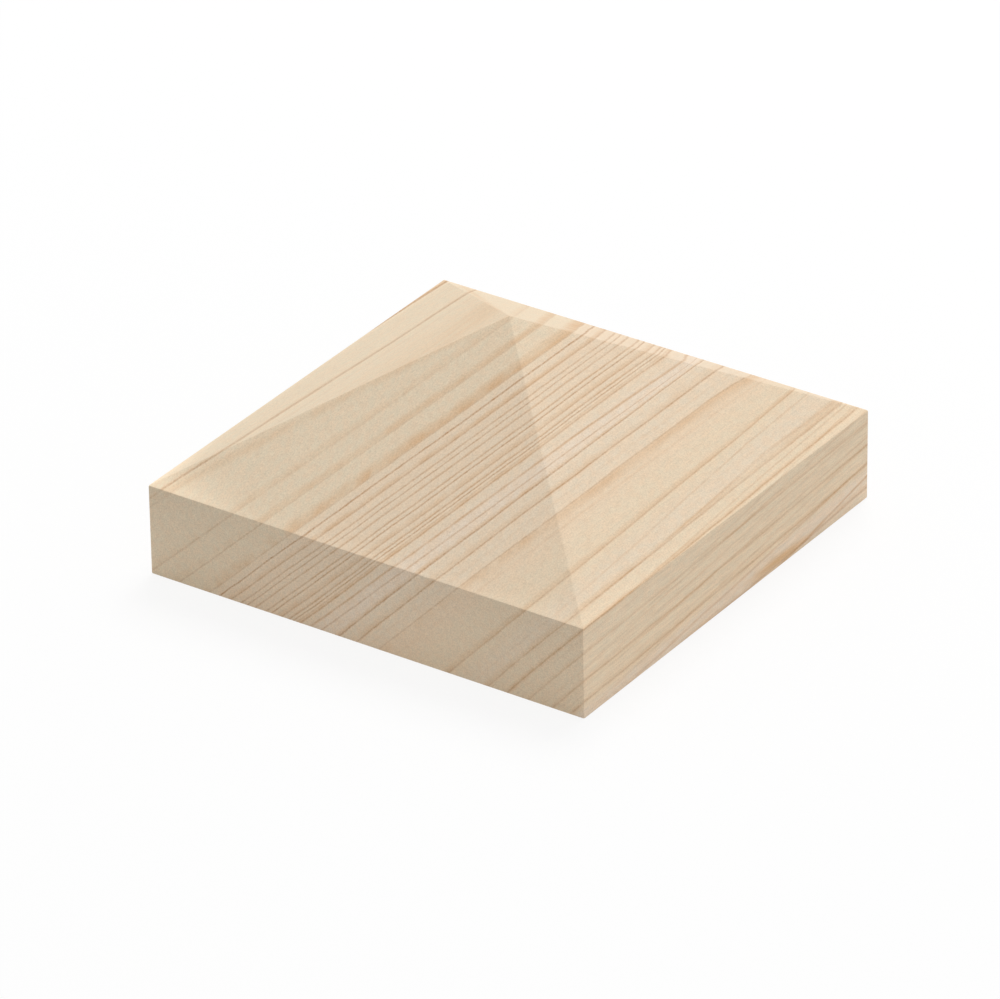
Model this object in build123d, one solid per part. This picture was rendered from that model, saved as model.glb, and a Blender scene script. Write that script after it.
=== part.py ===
from build123d import *
import math
import os

# Pyramid cap for a square newel post, sawn and routed from one block of softwood.
# Origin: middle of the underside. X and Y run square to the upright sides, Z points up to the apex.

# Driving sizes, in millimetres and degrees
post_width = 90.0  # across the flats of the square post
overhang = 13.0  # how far the cap stands out past the post on each side
side_height = 22.5  # upright sides, from the underside to the foot of the slopes
slope_angle = 30.0  # pitch of the four slopes, from level
post_clearance = 1.0  # gap between the post and each wall of the recess
recess_depth = 8.0  # how far the post goes up into the cap
cutter_radius = 3.0  # round corners that the router cutter leaves in the recess
arris_radius = 0.4  # outer edges, rubbed down with fine paper
mouth_radius = 0.5  # edge of the recess, eased so that the post starts in it easily

# Sizes that follow from them
cap_width = post_width + 2 * overhang
recess_width = post_width + 2 * post_clearance
sides = 4
quarter_turn = 360 / sides


def sawn_block(inset):
    """Block with four upright sides and four slopes, with every face set in by one distance."""
    half_width = cap_width / 2 - inset
    foot_of_slope = side_height - inset * math.tan(math.radians(45 - slope_angle / 2))
    apex_height = foot_of_slope + half_width * math.tan(math.radians(slope_angle))
    blank = Pos(0, 0, inset) * Box(
        2 * half_width,
        2 * half_width,
        apex_height - inset,
        align=(Align.CENTER, Align.CENTER, Align.MIN),
    )
    saw_cut = Plane((half_width, 0, foot_of_slope)).rotated((0, slope_angle, 0))
    for side in range(sides):
        blank = split(blank, bisect_by=saw_cut, keep=Keep.BOTTOM)
        blank = Rot(0, 0, quarter_turn) * blank
    return blank


def eased_block():
    """The sawn block with all its outer edges and corners rounded by the same small radius."""
    return offset(sawn_block(arris_radius), amount=arris_radius, kind=Kind.ARC)


def post_recess():
    """Shallow square pocket for the head of the post, with the cutter's round corners."""
    outline = RectangleRounded(recess_width, recess_width, cutter_radius)
    return extrude(outline, amount=recess_depth)


def pyramid_cap():
    """The whole cap: eased block, pocket routed in the underside, mouth of the pocket eased."""
    cap = eased_block() - post_recess()
    underside = cap.faces().sort_by(Axis.Z)[0]
    mouth = underside.inner_wires()[0].edges()
    return fillet(mouth, mouth_radius)


os.makedirs("parts", exist_ok=True)
cap = pyramid_cap()
cap.label = "pyramid_cap"
export_step(cap, "parts/pyramid_cap.step")
print(f"cap {cap_width:.1f} mm wide, {cap.bounding_box().max.Z:.2f} mm high, {cap.volume / 1000:.1f} cm3")
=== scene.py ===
import math

import bpy
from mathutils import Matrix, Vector


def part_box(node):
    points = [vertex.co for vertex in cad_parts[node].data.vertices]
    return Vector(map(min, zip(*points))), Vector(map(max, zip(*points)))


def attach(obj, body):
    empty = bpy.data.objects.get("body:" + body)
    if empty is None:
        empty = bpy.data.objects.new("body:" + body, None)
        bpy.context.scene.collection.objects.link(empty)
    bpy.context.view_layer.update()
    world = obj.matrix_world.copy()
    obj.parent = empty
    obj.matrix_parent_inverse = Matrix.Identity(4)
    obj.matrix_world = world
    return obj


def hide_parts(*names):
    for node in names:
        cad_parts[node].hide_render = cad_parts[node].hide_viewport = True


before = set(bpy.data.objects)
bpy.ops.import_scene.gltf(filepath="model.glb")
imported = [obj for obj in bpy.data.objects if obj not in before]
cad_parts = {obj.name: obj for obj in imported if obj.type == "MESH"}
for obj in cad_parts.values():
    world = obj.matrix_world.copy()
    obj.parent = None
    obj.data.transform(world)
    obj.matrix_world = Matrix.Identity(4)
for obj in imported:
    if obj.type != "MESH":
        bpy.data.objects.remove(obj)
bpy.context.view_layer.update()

# The cap: one block of pale planed pine, with four slopes sawn to a point and all its edges rubbed down.
# A shallow square recess is routed in the underside, so that the cap drops over the head of the post and
# is glued there. The fibres run along Y, so the faces at both ends of Y are end grain.

cap_low, cap_high = [Vector(corner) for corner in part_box("pyramid_cap")]
cap_width = cap_high.x - cap_low.x
side_height = 0.0225
slope_pitch = math.radians(30)
rim_width = 0.012
recess_depth = 0.008
cutter_radius = 0.003
cutter_steps = 8
worn_edge = 0.00036
worn_edge_steps = 4
worn_mouth = 0.0005
worn_mouth_steps = 3
sharp_from = math.radians(40)
nearly_level = 0.9
tiny = 0.00001

rise = cap_width / 2 * math.tan(slope_pitch)
recess_half = cap_width / 2 - rim_width


def pick_faces(piece, wanted):
    """Select in edit mode the faces that the test wants."""
    bpy.ops.mesh.select_mode(type="FACE")
    bpy.ops.mesh.select_all(action="DESELECT")
    bpy.ops.object.mode_set(mode="OBJECT")
    for face in piece.data.polygons:
        face.select = wanted(face)
    bpy.ops.object.mode_set(mode="EDIT")


def pick_edges(piece, wanted):
    """Select in edit mode the edges that the test wants, which sees both ends of an edge."""
    bpy.ops.mesh.select_mode(type="EDGE")
    bpy.ops.mesh.select_all(action="DESELECT")
    bpy.ops.object.mode_set(mode="OBJECT")
    places = [vertex.co for vertex in piece.data.vertices]
    for edge in piece.data.edges:
        edge.select = wanted(places[edge.vertices[0]], places[edge.vertices[1]])
    bpy.ops.object.mode_set(mode="EDIT")


def round_edges(width, steps):
    """Round the selected edges in steps, over a strip of that width."""
    bpy.ops.mesh.bevel(offset_type="WIDTH", offset=width, segments=steps, profile=0.5, affect="EDGES")


def inside_recess(place):
    """True for a corner on the walls, the floor or the mouth of the recess."""
    return max(abs(place.x), abs(place.y)) < recess_half + tiny and place.z < recess_depth + tiny


bpy.ops.object.select_all(action="DESELECT")
bpy.ops.mesh.primitive_cube_add(
    size=1, location=(0, 0, side_height / 2), scale=(cap_width, cap_width, side_height)
)
cap = bpy.context.object
cap.name = "pine_pyramid_cap"
bpy.ops.object.transform_apply(location=True, rotation=True, scale=True)
bpy.ops.object.mode_set(mode="EDIT")

# The top is drawn up by the rise of the slopes and gathered to the apex
pick_faces(cap, lambda face: face.normal.z > nearly_level)
bpy.ops.mesh.extrude_region_move(TRANSFORM_OT_translate={"value": (0, 0, rise)})
bpy.ops.mesh.merge(type="CENTER")

# The recess, with the round corners that the cutter leaves
pick_faces(cap, lambda face: face.normal.z < -nearly_level)
bpy.ops.mesh.inset(thickness=rim_width)
bpy.ops.mesh.extrude_region_move(TRANSFORM_OT_translate={"value": (0, 0, recess_depth)})
pick_edges(cap, lambda a, b: inside_recess(a) and inside_recess(b) and abs(a.z - b.z) > tiny)
bpy.ops.mesh.bevel(offset=cutter_radius, segments=cutter_steps, affect="EDGES")

# Outer edges and the mouth of the recess are eased
pick_edges(cap, lambda a, b: not inside_recess(a) and not inside_recess(b))
round_edges(worn_edge, worn_edge_steps)
pick_edges(cap, lambda a, b: inside_recess(a) and inside_recess(b) and a.z < tiny and b.z < tiny)
round_edges(worn_mouth, worn_mouth_steps)
bpy.ops.object.mode_set(mode="OBJECT")
bpy.ops.object.shade_smooth_by_angle(angle=sharp_from)
flat_shading = cap.modifiers.new("flat faces stay flat", "WEIGHTED_NORMAL")
flat_shading.keep_sharp = True
bpy.ops.object.modifier_apply(modifier=flat_shading.name)

# Pine: pale spring wood that turns orange towards the end of each year and closes with a thin brown line.
# The heart of the tree lies far off, up and to the left, so the yearly rings are nearly flat sheets at
# 45 degrees. All distances in the wood are in millimetres.

pine = bpy.data.materials.new("pine, planed and sanded")
millimetres = 1000


def empty_nodes(owner):
    """Clear the nodes of a material or world, and give the nodes and wires that the helpers then work on."""
    owner.use_nodes = True
    owner.node_tree.nodes.clear()
    return owner.node_tree.nodes, owner.node_tree.links


def join(value, socket):
    """Wire an output to the socket, or write a plain value in it."""
    if isinstance(value, bpy.types.NodeSocket):
        wires.new(value, socket)
    else:
        socket.default_value = value


def maths(operation, *values, clamp=False):
    """One sum on values or outputs."""
    node = nodes.new("ShaderNodeMath")
    node.operation = operation
    node.use_clamp = clamp
    for value, socket in zip(values, node.inputs):
        join(value, socket)
    return node.outputs[0]


def vector_maths(operation, *values):
    """One sum on places or colours. SCALE takes its factor last, and LENGTH gives a plain value."""
    node = nodes.new("ShaderNodeVectorMath")
    node.operation = operation
    in_use = [socket for socket in node.inputs if socket.enabled]
    for value, socket in zip(values, in_use):
        join(value, socket)
    return next(socket for socket in node.outputs if socket.enabled)


def split(vector):
    """The three parts of a vector, along X, Y and Z."""
    node = nodes.new("ShaderNodeSeparateXYZ")
    join(vector, node.inputs[0])
    return node.outputs


def span(value, low, high, to_low=0.0, to_high=1.0, smooth=False):
    """Stretch the values from low to high over to_low to to_high, and stop at those ends."""
    node = nodes.new("ShaderNodeMapRange")
    node.interpolation_type = "SMOOTHSTEP" if smooth else "LINEAR"
    join(value, node.inputs["Value"])
    join(low, node.inputs["From Min"])
    join(high, node.inputs["From Max"])
    join(to_low, node.inputs["To Min"])
    join(to_high, node.inputs["To Max"])
    return node.outputs["Result"]


def in_steps(value, start, steps):
    """From its start, the result changes by the amount of each step between that step's two places."""
    total = start
    for low, high, change in steps:
        total = maths("ADD", total, span(value, low, high, 0, change, smooth=True))
    return total


def distance_from(value, middle):
    """How far the value lies from the middle, on either side."""
    return maths("ABSOLUTE", maths("SUBTRACT", value, middle))


def noise(across, along, detail=2.0):
    """Uneven pattern from 0 to 1, with so many lumps to a millimetre across and along the fibres."""
    node = nodes.new("ShaderNodeTexNoise")
    node.inputs["Scale"].default_value = 1.0
    node.inputs["Detail"].default_value = detail
    node.inputs["Roughness"].default_value = 0.5
    join(vector_maths("MULTIPLY", place, (across, along, across)), node.inputs["Vector"])
    return node.outputs["Fac"]


def vary(pattern, least, most):
    """Make a noise pattern, which mostly keeps between 0.3 and 0.7, vary from the least to the most."""
    return span(pattern, 0.3, 0.7, least, most)


def swing(pattern, most):
    """Make a noise pattern swing about nothing, by up to the given amount either way."""
    return span(pattern, 0.25, 0.75, -most, most)


def blend(amount, first, second):
    """Lay the second colour over the first, by an amount from 0 to 1."""
    node = nodes.new("ShaderNodeMix")
    node.data_type = "RGBA"
    node.clamp_factor = True
    # The sockets for colours come after those for plain values and vectors
    first_colour, second_colour, blended_colour = 6, 7, 2
    join(amount, node.inputs[0])
    join(first, node.inputs[first_colour])
    join(second, node.inputs[second_colour])
    return node.outputs[blended_colour]


def wood_colour(red, green, blue):
    """A colour as a screen shows it, 0 to 255, turned into light. The curve holds for all but near black."""
    return tuple(((shown / 255 + 0.055) / 1.055) ** 2.4 for shown in (red, green, blue)) + (1.0,)


nodes, wires = empty_nodes(pine)
on_the_cap = nodes.new("ShaderNodeTexCoord")
place = vector_maths("SCALE", on_the_cap.outputs["Object"], millimetres)
place_x, place_y, place_z = split(place)
normal_x, normal_y, normal_z = split(on_the_cap.outputs["Normal"])

# End grain, the two long sides and the slopes are told apart by the way that they face
facing_from, facing_full = 0.75, 0.95
end_grain = span(maths("ABSOLUTE", normal_y), facing_from, facing_full, smooth=True)
long_side = span(maths("ABSOLUTE", normal_x), facing_from, facing_full)
faces_up = span(normal_z, 0.3, 0.8)

# Distance across the rings, measured level, from the ring that meets the foot of the front slope half-way
# along it
height_on_slope = maths("SUBTRACT", place_z, side_height * millimetres)
from_front = maths("ADD", place_y, cap_width / 2 * millimetres)
plain_distance = maths("SUBTRACT", place_x, height_on_slope)

# How fast the rings draw together upwards, in millimetres for each millimetre of height. They do so more and
# more away from the straight ring, and a little more or less after each step.
straight_ring = 5.0
drawing_together = 0.0017
drawing_steps = ((-18, -10, -0.010), (5.5, 7.8, -0.024), (11.5, 14, 0.050), (20, 28, -0.016))
drawing = maths("MULTIPLY", maths("SUBTRACT", plain_distance, straight_ring), drawing_together)
drawing = in_steps(plain_distance, drawing, drawing_steps)

# How far they lean over along the fibres, in millimetres for each millimetre of fibre
lean_on_the_left = -0.050
lean_steps = ((-52, -30, 0.050), (28, 42, 0.040), (45, 52, -0.022), (60, 68, 0.009))
lean = in_steps(plain_distance, lean_on_the_left, lean_steps)

# Where they bend: the Y at which a bend begins and ends, and in which steps across the rings it shifts them
bends = (
    (0, 70, ((34, 40, 1.2), (45, 49, -1.2), (52.6, 55, 1.0))),
    (22, 52, ((20, 23, -1.5), (29, 35, 1.5))),
    (-30, 35, ((5.6, 8, -1.04), (8.3, 11, -0.37), (11.2, 14.4, 2.18), (15, 19, -0.77))),
)
bend = 0.0
for begins, ends, steps in bends:
    bent = span(place_y, begins, ends, smooth=True)
    bend = maths("MULTIPLY_ADD", bent, in_steps(plain_distance, 0.0, steps), bend)

# How uneven they are: for each kind of wave, how many to a millimetre across and along the fibres, how much
# finer detail it has and how high it rises above the lowest place
waves = ((0.03, 0.016, 1.0, 0.9), (0.12, 0.05, 2.0, 0.5), (1.4, 0.35, 2.0, 0.3))
lowest_wave = -1.02
wave = lowest_wave
for across, along, detail, wave_height in waves:
    wave = maths("MULTIPLY_ADD", noise(across, along, detail), wave_height, wave)

ring_distance = maths("MULTIPLY_ADD", drawing, height_on_slope, plain_distance)
ring_distance = maths("MULTIPLY_ADD", lean, from_front, ring_distance)
ring_distance = maths("ADD", ring_distance, maths("ADD", bend, wave))


def ring_ramp(marks):
    """A colour that runs from mark to mark across the rings. Each mark is a place and the colour there."""
    first_place, last_place = marks[0][0], marks[-1][0]
    node = nodes.new("ShaderNodeValToRGB")
    join(span(ring_distance, first_place, last_place), node.inputs["Fac"])
    stops = node.color_ramp.elements
    stops.remove(stops[-1])
    stops[0].color = marks[0][1]
    for distance, colour in marks[1:]:
        stops.new((distance - first_place) / (last_place - first_place)).color = colour
    return node.outputs["Color"]


def across_rings(marks):
    """A value that runs from mark to mark across the rings. Each mark is a place and the value there.

    A ramp holds 32 marks, so a long row is cut where the value is nothing, and the parts are added.
    """
    enough_marks = 24
    rows = [[]]
    before = None
    for distance, value in marks:
        if len(rows[-1]) > enough_marks and value == 0 and before == 0:
            rows.append([])
        rows[-1].append((distance, (value, value, value, 1)))
        before = value
    total = 0.0
    for row in rows:
        total = maths("ADD", total, ring_ramp(row))
    return total


# Summer wood of each year: where it begins, where it is fullest, where it ends and how orange it is
summer_bands = (
    (-64.3, -63.0, -62.3, 0.60),
    (-55.6, -54.6, -54.0, 0.25),
    (-37.4, -35.3, -34.0, 0.23),
    (-29.6, -27.6, -26.5, 0.46),
    (-22.8, -19.4, -18.5, 0.68),
    (-16.8, -16.3, -15.8, 0.20),
    (-14.6, -13.4, -12.5, 0.56),
    (-10.9, -10.4, -9.9, 0.25),
    (-9.1, -8.75, -8.4, 0.15),
    (-7.4, -6.8, -6.2, 0.35),
    (-4.4, -3.8, -3.3, 0.35),
    (-2.8, -2.4, -2.0, 0.30),
    (-1.3, 0.2, 0.9, 0.45),
    (1.6, 2.3, 2.7, 0.45),
    (3.05, 3.4, 3.75, 0.35),
    (3.9, 5.1, 5.7, 0.60),
    (7.6, 8.3, 8.9, 0.50),
    (10.6, 11.1, 11.6, 0.15),
    (13.2, 14.2, 14.9, 0.48),
    (17.2, 19.0, 20.2, 0.35),
    (21.7, 22.3, 22.9, 0.15),
    (24.9, 26.0, 28.8, 0.68),
    (28.8, 29.7, 30.4, 0.22),
    (41.0, 42.8, 43.7, 0.44),
    (51.3, 52.8, 53.6, 0.40),
    (56.8, 57.9, 58.9, 0.50),
    (62.3, 63.3, 63.9, 0.28),
    (66.5, 67.0, 67.4, 0.12),
    (68.6, 69.5, 70.6, 0.32),
    (72.8, 73.9, 74.8, 0.36),
    (77.8, 78.9, 79.6, 0.38),
)
share_half_way = 0.65
marks = []
for begins, fullest, ends, value in summer_bands:
    half_way = (begins + fullest) / 2
    marks += [(begins, 0), (half_way, share_half_way * value), (fullest, value), (ends, 0)]
summer_wood = across_rings(marks)

# The dark line that closes each year: its middle, half its width and how dark it is. Right after it the new
# year starts, is soon at its palest and then settles, each so far past the middle of the line.
dark_lines = (
    (-62.8, 0.50, 0.80),
    (-54.5, 0.50, 0.50),
    (-52.0, 0.50, 0.07),
    (-34.9, 0.50, 0.13),
    (-27.0, 0.37, 0.18),
    (-18.95, 0.33, 0.28),
    (-16.3, 0.33, 0.78),
    (-13.1, 0.34, 0.45),
    (-10.35, 0.34, 0.45),
    (-8.75, 0.30, 0.47),
    (-6.7, 0.37, 0.38),
    (-3.8, 0.34, 0.43),
    (-2.35, 0.30, 0.59),
    (0.4, 0.34, 0.38),
    (2.35, 0.34, 0.43),
    (3.4, 0.27, 0.54),
    (4.3, 0.25, 0.17),
    (5.15, 0.33, 0.40),
    (8.25, 0.37, 0.31),
    (11.1, 0.34, 0.40),
    (14.5, 0.37, 0.66),
    (19.2, 0.34, 0.57),
    (25.25, 0.34, 0.31),
    (29.7, 0.40, 0.05),
    (43.0, 0.37, 0.28),
    (53.05, 0.37, 0.33),
    (58.0, 0.37, 0.40),
    (60.0, 0.40, 0.06),
    (63.45, 0.40, 0.21),
    (69.45, 0.40, 0.26),
    (72.3, 0.40, 0.09),
    (73.95, 0.37, 0.33),
    (79.0, 0.40, 0.38),
)
year_starts, year_palest, year_settles = 0.26, 0.55, 1.0
line_marks = []
year_marks = []
for middle, half_width, value in dark_lines:
    line_marks += [(middle - half_width, 0), (middle, value), (middle + half_width, 0)]
    year_marks += [(middle + year_starts, 0), (middle + year_palest, value), (middle + year_settles, 0)]
dark_line = across_rings(line_marks)
new_year = across_rings(year_marks)

# Thin warm lines that stray across the rings on the right: how near the heart they come, how fast they move
# away from there along the fibres, at which Y they turn, and how strong they are. They are faint in front.
stray_lines = (
    (46.5, 0.035, 22, 0.34),
    (51.1, 0.032, 24, 0.34),
    (54.0, 0.040, 58, 0.35),
    (56.4, 0.090, 58, 0.25),
    (60.3, 0.057, 58, 0.30),
    (63.9, 0.042, 58, 0.26),
    (67.4, 0.030, 58, 0.36),
    (69.4, 0.061, 58, 0.26),
    (73.6, 0.040, 58, 0.46),
    (76.6, 0.085, 58, 0.75),
)
stray_half_width = 0.45
stray_at_front, stray_full_from = 0.35, 30
stray_darkness, stray_orange = 0.35, 0.7
stray = 0.0
for nearest, moving_away, turning_y, value in stray_lines:
    middle = maths("MULTIPLY_ADD", distance_from(place_y, turning_y), moving_away, nearest)
    off_line = distance_from(ring_distance, middle)
    stray = maths("MAXIMUM", stray, span(off_line, 0, stray_half_width, value, 0))
stray = maths("MULTIPLY", stray, span(from_front, 0, stray_full_from, stray_at_front, 1))
dark_line = maths("MULTIPLY_ADD", stray, stray_darkness, dark_line)
summer_wood = maths("MULTIPLY_ADD", stray, stray_orange, summer_wood)

# A soft warm streak that climbs beside the left front hip and lies flatter than the rings
hip_streak_place = -52.9
hip_streak_climb = -0.53
hip_streak_half_width = 2.6
hip_streak_orange = 0.30
hip_streak = maths("MULTIPLY_ADD", height_on_slope, hip_streak_climb, plain_distance)
hip_streak = distance_from(hip_streak, hip_streak_place)
hip_streak = span(hip_streak, 0, hip_streak_half_width, hip_streak_orange, 0, smooth=True)
summer_wood = maths("ADD", summer_wood, hip_streak)

# Summer wood comes and goes along the fibres. The bands on the left grow stronger towards the back, the
# broad band on the right fades towards the front, and end grain shows less of both.
least_shown, most_shown = 0.45, 1.55
left_middle, left_at_front, left_at_back, left_on_ends = -24, -0.05, 0.5, -0.6
right_middle, right_at_front, right_on_ends = 28, -0.52, -0.35
lumps = noise(0.35, 0.04, detail=3.0)
on_the_left = span(distance_from(plain_distance, left_middle), 6, 9, 1, 0)
left_bands = maths("MULTIPLY", on_the_left, span(place_y, -50, 35, left_at_front, left_at_back))
left_ends = maths("MULTIPLY", end_grain, span(plain_distance, -16, 0, left_on_ends, 0))
on_the_right = span(distance_from(plain_distance, right_middle), 2, 5, 1, 0)
right_fade = maths("MULTIPLY_ADD", end_grain, right_on_ends, span(place_y, -58, 15, right_at_front, 0))
right_band = maths("MULTIPLY", on_the_right, right_fade)
shown = vary(lumps, least_shown, most_shown)
for change in (left_bands, right_band, left_ends):
    shown = maths("ADD", shown, change)
summer_wood = maths("MULTIPLY", summer_wood, shown, clamp=True)

# The dark lines are broken by the single fibres. On end grain the first of them, by the left corner, are
# fainter, and the next ones are plainer.
plainer_by_the_corner = -0.6
plainer_steps = ((-53.6, -53, 1.6), (-24, -20, -1.0))
broken = vary(noise(3.0, 1.2, detail=1.0), 0.55, 1.45)
steady = vary(lumps, 0.8, 1.2)
plainer = in_steps(plain_distance, plainer_by_the_corner, plainer_steps)
plainer = maths("MULTIPLY_ADD", end_grain, plainer, 1.0)
dark_line = maths("MULTIPLY", dark_line, broken)
dark_line = maths("MULTIPLY", dark_line, maths("MULTIPLY", steady, plainer), clamp=True)

# Spring wood changes its tint from zone to zone across the rings
straw = wood_colour(231, 214, 187)
pink = wood_colour(233, 213, 187)
peach = wood_colour(235, 213, 185)
honey = wood_colour(233, 214, 186)
misty = wood_colour(233, 215, 190)
pale = wood_colour(236, 218, 196)
spring_zones = (
    (-60, straw),
    (-20, straw),
    (-17, pink),
    (5, pink),
    (6.5, misty),
    (9, pale),
    (13, pale),
    (15, misty),
    (23, misty),
    (26, peach),
    (30, peach),
    (35, honey),
    (44, honey),
    (49, misty),
    (51, misty),
    (54, honey),
    (74.5, honey),
    (76, pale),
    (77.8, pale),
    (84, honey),
)

# Warm clouds in it, then the orange of the summer wood and the brown of the lines
warm = wood_colour(238, 209, 177)
orange = wood_colour(221, 185, 146)
brown = wood_colour(182, 136, 93)
thickest_cloud = 0.4
clouds = span(noise(0.7, 0.35, detail=1.0), 0.35, 0.65, 0, thickest_cloud)
colour = blend(clouds, ring_ramp(spring_zones), warm)
colour = blend(summer_wood, colour, orange)
colour = blend(dark_line, colour, brown)

# A streak of resin low on the right side, long and thin along the fibres
resin = wood_colour(222, 180, 130)
resin_middle = (cap_high.x * millimetres, 20, 2.0)
resin_narrowness = (0.15, 0.07, 0.65)
resin_strength = 0.75
from_resin = vector_maths("MULTIPLY", vector_maths("SUBTRACT", place, resin_middle), resin_narrowness)
resin_seen = span(vector_maths("LENGTH", from_resin), 0.1, 1.2, resin_strength, 0, smooth=True)
colour = blend(resin_seen, colour, resin)

# Light and shade in the wood: single fibres, a fine speckle, a faint mottle and the pale start of each year,
# and fine streaks, mostly on the long sides, which the planer cut along the fibres
fibre_contrast = 0.03
speckle_contrast = 0.09
mottle_contrast = 0.025
streak_contrast = 0.07
streaks_elsewhere = 0.35
year_contrast = 0.07
fibres = noise(5.0, 0.25)
speckle = noise(3.0, 2.6, detail=1.0)
mottle = noise(0.9, 0.5)
streaks = noise(2.8, 0.16)
shade = maths("ADD", swing(fibres, fibre_contrast), swing(speckle, speckle_contrast))
shade = maths("ADD", shade, swing(mottle, mottle_contrast))
streaks_seen = span(long_side, 0, 1, streaks_elsewhere, 1)
shade = maths("MULTIPLY_ADD", swing(streaks, streak_contrast), streaks_seen, shade)
shade = maths("MULTIPLY_ADD", new_year, year_contrast, shade)

# Painted light at the foot of each slope: it is a little paler there, more at the corners and most of all at
# the left front corner. The lowest of it, along the eased edge, is paler still: a painted highlight.
painted_light_height = 5.5
painted_light_anywhere, painted_light_at_corners, painted_light_at_left_front = 0.015, 0.06, 0.18
near_corner, at_corner = 84, 114
painted_highlight_height, painted_highlight_strength = 1.6, 0.045
painted_light_at_foot = maths("MULTIPLY", span(height_on_slope, 0.5, painted_light_height, 1, 0, smooth=True), faces_up)
to_any_corner = maths("ADD", maths("ABSOLUTE", place_x), maths("ABSOLUTE", place_y))
to_left_front = maths("MULTIPLY", maths("ADD", place_x, place_y), -1.0)
painted_light_amount = maths(
    "ADD",
    span(to_any_corner, near_corner, at_corner, painted_light_anywhere, painted_light_at_corners, smooth=True),
    span(to_left_front, near_corner, at_corner, 0, painted_light_at_left_front, smooth=True),
)
brightness = maths("MULTIPLY_ADD", painted_light_at_foot, painted_light_amount, maths("ADD", 1.0, shade))
# Painted highlight along the eased edge at the foot of each slope
painted_edge_highlight = maths("MULTIPLY", span(height_on_slope, 0.2, painted_highlight_height, painted_highlight_strength, 0), faces_up)
brightness = maths("ADD", brightness, painted_edge_highlight)

# End grain drinks in more light than the long faces; the extra darkening towards its two ends is painted
# shade
painted_shade_least_x = -5
drunk_in_middle, end_grain_and_painted_shade_at_ends = 0.122, 0.158
end_grain_and_painted_shade = span(distance_from(place_x, painted_shade_least_x), 15, 50, drunk_in_middle, end_grain_and_painted_shade_at_ends)
brightness = maths("SUBTRACT", brightness, maths("MULTIPLY", end_grain, end_grain_and_painted_shade))

# Painted shade and light on the sides: a little darker right under the slopes and paler towards the
# underside, which makes up for a part of the shade that the floor throws on them
low_on_side, high_on_side = -22, -0.5
ends_low, ends_high = 0.065, -0.07
sides_low, sides_high = 0.02, -0.06
painted_shade_down_the_ends = span(height_on_slope, low_on_side, high_on_side, ends_low, ends_high)
painted_shade_down_the_sides = span(height_on_slope, low_on_side, high_on_side, sides_low, sides_high)
painted_shade_down_the_ends = maths("MULTIPLY", end_grain, painted_shade_down_the_ends)
painted_shade_down_the_sides = maths("MULTIPLY", long_side, painted_shade_down_the_sides)
brightness = maths("ADD", brightness, maths("ADD", painted_shade_down_the_ends, painted_shade_down_the_sides))

# The sanded surface can just be felt: fibres, speckle and the harder lines
fibre_relief, speckle_relief, line_relief = 0.6, 0.4, 0.5
relief_strength = 0.35
relief_depth = 0.00003
relief = maths("MULTIPLY_ADD", fibres, fibre_relief, maths("MULTIPLY", speckle, speckle_relief))
relief = maths("MULTIPLY_ADD", dark_line, line_relief, relief)
bump = nodes.new("ShaderNodeBump")
bump.inputs["Strength"].default_value = relief_strength
bump.inputs["Distance"].default_value = relief_depth
join(relief, bump.inputs["Height"])

# Bare wood shines very little, and not evenly
least_rough, most_rough = 0.6, 0.72
surface = nodes.new("ShaderNodeBsdfPrincipled")
surface.inputs["Specular IOR Level"].default_value = 0.12
join(vector_maths("SCALE", colour, brightness), surface.inputs["Base Color"])
join(span(fibres, 0.2, 0.8, least_rough, most_rough), surface.inputs["Roughness"])
join(bump.outputs["Normal"], surface.inputs["Normal"])
material_out = nodes.new("ShaderNodeOutputMaterial")
join(surface.outputs[0], material_out.inputs["Surface"])

cap.data.materials.append(pine)
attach(cap, "root")
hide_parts("pyramid_cap")

# The studio floor: a large sheet of matt white paper that the cap stands on. To the camera it also glows by
# itself, so that it fades into the white backdrop and keeps no more than the soft shadow of the cap.

floor_size = 12.0
paper_white = (0.97, 0.97, 0.97, 1)
glow_strength = 1.0
glow_share = 0.85


def white_light(kind, strength):
    """A node of that kind that shines evenly white."""
    node = nodes.new(kind)
    node.inputs["Color"].default_value = (1, 1, 1, 1)
    node.inputs["Strength"].default_value = strength
    return node.outputs[0]


def mix_looks(share, first, second):
    """The look of the first, with the share of the second laid over it."""
    node = nodes.new("ShaderNodeMixShader")
    for value, socket in zip((share, first, second), node.inputs):
        join(value, socket)
    return node.outputs[0]


bpy.ops.object.select_all(action="DESELECT")
bpy.ops.mesh.primitive_plane_add(size=floor_size, location=(0, 0, 0))
floor = bpy.context.object
floor.name = "studio_floor"
sheet = bpy.data.materials.new("white studio sheet")
nodes, wires = empty_nodes(sheet)
paper = nodes.new("ShaderNodeBsdfDiffuse")
paper.inputs["Color"].default_value = paper_white
ray = nodes.new("ShaderNodeLightPath")
seen = maths("MAXIMUM", ray.outputs["Is Camera Ray"], ray.outputs["Is Glossy Ray"])
seen = maths("MAXIMUM", seen, ray.outputs["Is Transmission Ray"])
glow = white_light("ShaderNodeEmission", glow_strength)
sheet_look = mix_looks(maths("MULTIPLY", seen, glow_share), paper.outputs[0], glow)
sheet_out = nodes.new("ShaderNodeOutputMaterial")
join(sheet_look, sheet_out.inputs["Surface"])
floor.data.materials.append(sheet)

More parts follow.
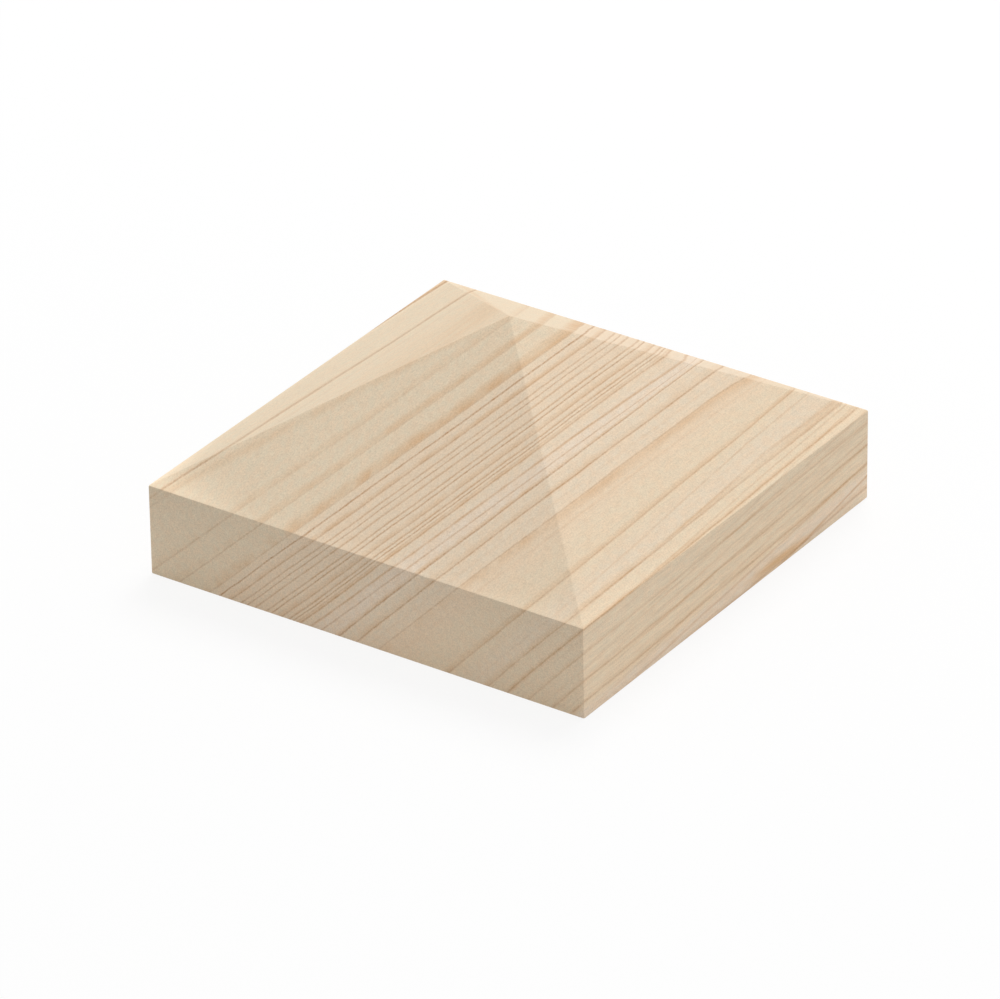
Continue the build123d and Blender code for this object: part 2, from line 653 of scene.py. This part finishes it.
# Studio light: an even white dome, one broad lamp high behind the cap, and a low fill on its right

dome_strength = 0.64
backdrop_strength = 1.0


def soft_lamp(name, stand, width, watts):
    """A round lamp on its stand, aimed at the middle of the cap."""
    lamp = bpy.data.lights.new(name, "AREA")
    lamp.shape = "DISK"
    lamp.size = width
    lamp.energy = watts
    holder = bpy.data.objects.new(name, lamp)
    bpy.context.collection.objects.link(holder)
    holder.location = stand
    aim = Vector((0, 0, cap_high.z / 2)) - holder.location
    holder.rotation_euler = aim.to_track_quat("-Z", "Y").to_euler()


soft_lamp("high lamp behind", stand=(-0.25, 1.15, 1.75), width=1.2, watts=20)
soft_lamp("fill on the right", stand=(2.0, -0.1, 0.7), width=1.2, watts=0.9)

dome = bpy.data.worlds.new("white dome")
nodes, wires = empty_nodes(dome)
ray = nodes.new("ShaderNodeLightPath")
dome_light = white_light("ShaderNodeBackground", dome_strength)
backdrop = white_light("ShaderNodeBackground", backdrop_strength)
dome_look = mix_looks(ray.outputs["Is Camera Ray"], dome_light, backdrop)
dome_out = nodes.new("ShaderNodeOutputWorld")
join(dome_look, dome_out.inputs["Surface"])
bpy.context.scene.world = dome
bpy.context.scene.view_settings.view_transform = "Standard"

# Camera: a long lens from the front right, turned slightly, as in a catalogue picture

camera_azimuth = math.radians(34.5)
camera_elevation = math.radians(29.5)
camera_roll = math.radians(-0.8)
camera_distance = 1.771
camera_target = Vector((0.01183, -0.02181, 0.0232))
backwards = Vector(
    (
        math.sin(camera_azimuth) * math.cos(camera_elevation),
        -math.cos(camera_azimuth) * math.cos(camera_elevation),
        math.sin(camera_elevation),
    )
)
camera = bpy.data.objects.new("camera", bpy.data.cameras.new("camera"))
bpy.context.collection.objects.link(camera)
camera.data.sensor_width = 36
camera.data.lens = 288.65
camera.data.clip_end = 50
camera.location = camera_target + backwards * camera_distance
turned = backwards.to_track_quat("Z", "Y").to_matrix()
camera.rotation_euler = turned.to_euler()
camera.rotation_euler.rotate_axis("Z", camera_roll)
bpy.context.scene.camera = camera
